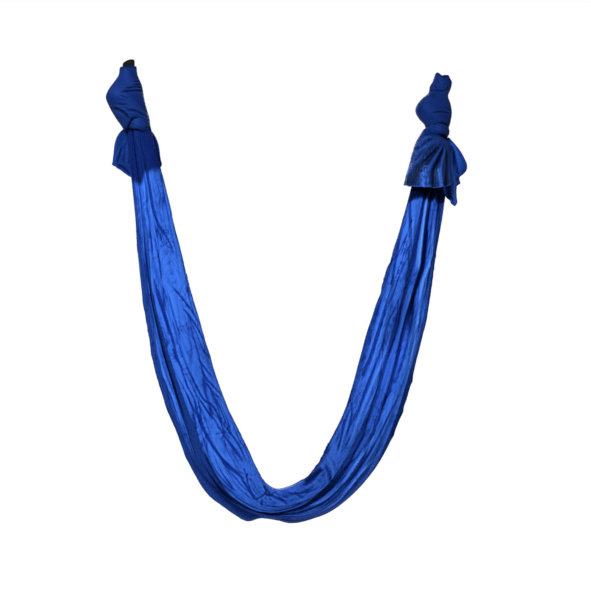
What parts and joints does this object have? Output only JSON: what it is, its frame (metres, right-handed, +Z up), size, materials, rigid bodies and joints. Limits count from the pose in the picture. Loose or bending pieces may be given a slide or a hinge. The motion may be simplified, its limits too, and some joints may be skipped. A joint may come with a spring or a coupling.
{
  "type": "aerial yoga hammock",
  "caption": "Wide satin cloth sling gathered and knotted at both ends, hanging in a U from webbing loops, for aerial yoga.",
  "frame": {"origin": "midway between the two hang points, on the line through the middles of the webbing loops", "axes": "+X from the left loop to the right loop, +Y away from the viewer, +Z up"},
  "size_m": [1.2607, 0.176, 1.5618],
  "materials": {
    "sling_cloth": "satin nylon tricot",
    "knot_cloth": "satin nylon tricot, drawn tight",
    "webbing": "flat woven polyester"
  },
  "bodies": {
    "hangers": {"left_hang_loop": "webbing", "right_hang_loop": "webbing"},
    "sling": {"left_neck": "knot_cloth", "right_neck": "knot_cloth", "left_knot": "knot_cloth", "right_knot": "knot_cloth", "left_knot_wrap": "knot_cloth", "right_knot_wrap": "knot_cloth", "left_strand_back": "sling_cloth", "seat_back": "sling_cloth", "right_strand_back": "sling_cloth"},
    "front_half": {"left_strand_front": "sling_cloth", "seat_front": "sling_cloth", "right_strand_front": "sling_cloth"},
    "left_tail": {"left_tail": "sling_cloth"},
    "right_skirt": {"right_tail_skirt": "sling_cloth"},
    "right_flap": {"right_tail_flap": "sling_cloth"}
  },
  "joints": [
    {"name": "swing", "type": "hinge", "parent": "hangers", "child": "sling", "pos_m": [0, 0, 0], "axis": [1, 0, 0], "range_deg": [-45, 45]},
    {"name": "open", "type": "hinge", "parent": "sling", "child": "front_half", "pos_m": [0, -0.018, -0.212], "axis": [-1, 0, 0], "range_deg": [0, 40]},
    {"name": "left_tail_lift", "type": "hinge", "parent": "sling", "child": "left_tail", "pos_m": [-0.5142, 0.0411, -0.2416], "axis": [1, 0, 0], "range_deg": [0, 60]},
    {"name": "right_skirt_lift", "type": "hinge", "parent": "front_half", "child": "right_skirt", "pos_m": [0.5135, -0.0413, -0.2416], "axis": [-1, 0, 0], "range_deg": [0, 60]},
    {"name": "right_flap_lift", "type": "hinge", "parent": "sling", "child": "right_flap", "pos_m": [0.5776, 0, -0.2123], "axis": [0, -1, 0], "range_deg": [0, 60]}
  ]
}
